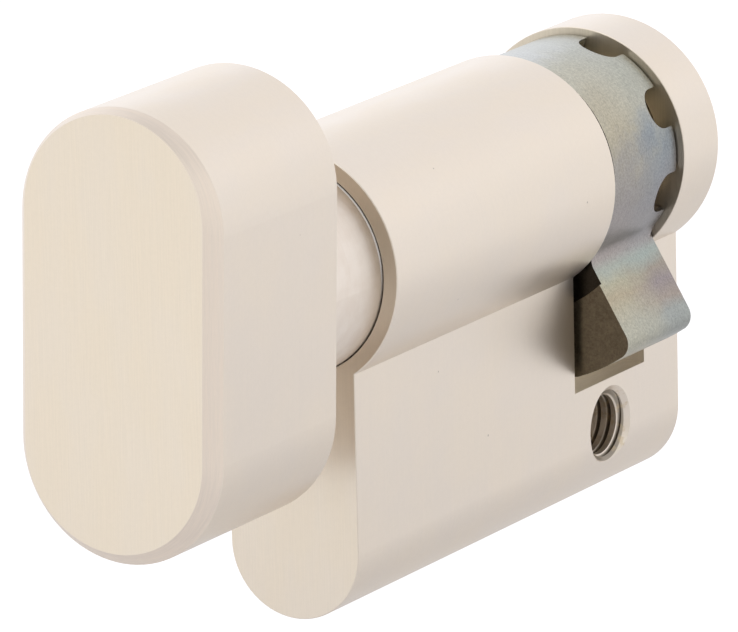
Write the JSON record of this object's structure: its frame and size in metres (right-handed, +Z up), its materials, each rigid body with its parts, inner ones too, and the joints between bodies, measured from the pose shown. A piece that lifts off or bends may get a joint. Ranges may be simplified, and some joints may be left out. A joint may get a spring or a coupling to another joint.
{
  "type": "euro half cylinder",
  "caption": "Euro profile half cylinder: a stadium-shaped thumbturn on a round neck turns a spindle and a notched steel cam in the slot of a keyhole-shaped metal body.",
  "frame": {"origin": "on the spindle axis, in the middle of the cam slot, above the fixing hole", "axes": "+Y along the spindle axis away from the knob, +Z up from the stem to the round head, +X to the right seen from the knob end"},
  "size_m": [0.0175, 0.0671, 0.0399],
  "materials": {
    "nickel_plate": "satin nickel plate on brass, finely brushed",
    "bare_brass": "turned brass, not plated",
    "zinc_steel": "zinc plated and passivated, slightly iridescent",
    "hard_steel": "ground, hardened",
    "spring_steel": "drawn spring steel",
    "slip_polymer": "filled slip polymer",
    "seal_rubber": "matt"
  },
  "bodies": {
    "body": {"housing": "nickel_plate", "chamber_plug": "bare_brass", "friction_spring": "spring_steel", "thrust_washer": "slip_polymer"},
    "rotor": {"spindle": "bare_brass", "spindle_o_ring": "seal_rubber", "retaining_clip": "spring_steel", "neck_sleeve": "nickel_plate", "knob": "nickel_plate", "knob_set_screw": "hard_steel", "cam": "zinc_steel", "index_spring": "spring_steel"},
    "index_pin": {"index_pin": "hard_steel"},
    "friction_pin": {"friction_pin": "bare_brass"}
  },
  "joints": [
    {"name": "thumbturn", "type": "hinge", "parent": "body", "child": "rotor", "pos_m": [0, 0, 0], "axis": [0, 1, 0], "continuous": true},
    {"name": "index_pin_press", "type": "slide", "parent": "rotor", "child": "index_pin", "axis": [0.891, 0, 0.454], "range_m": [0, 0.0014], "stiffness_N_per_m": 300, "springref_m": -0.003, "deforming": ["index_spring"]},
    {"name": "friction_pin_slide", "type": "slide", "parent": "body", "child": "friction_pin", "axis": [0, 0, -1], "range_m": [0, 0.001], "stiffness_N_per_m": 400, "springref_m": -0.003, "deforming": ["friction_spring"]}
  ]
}
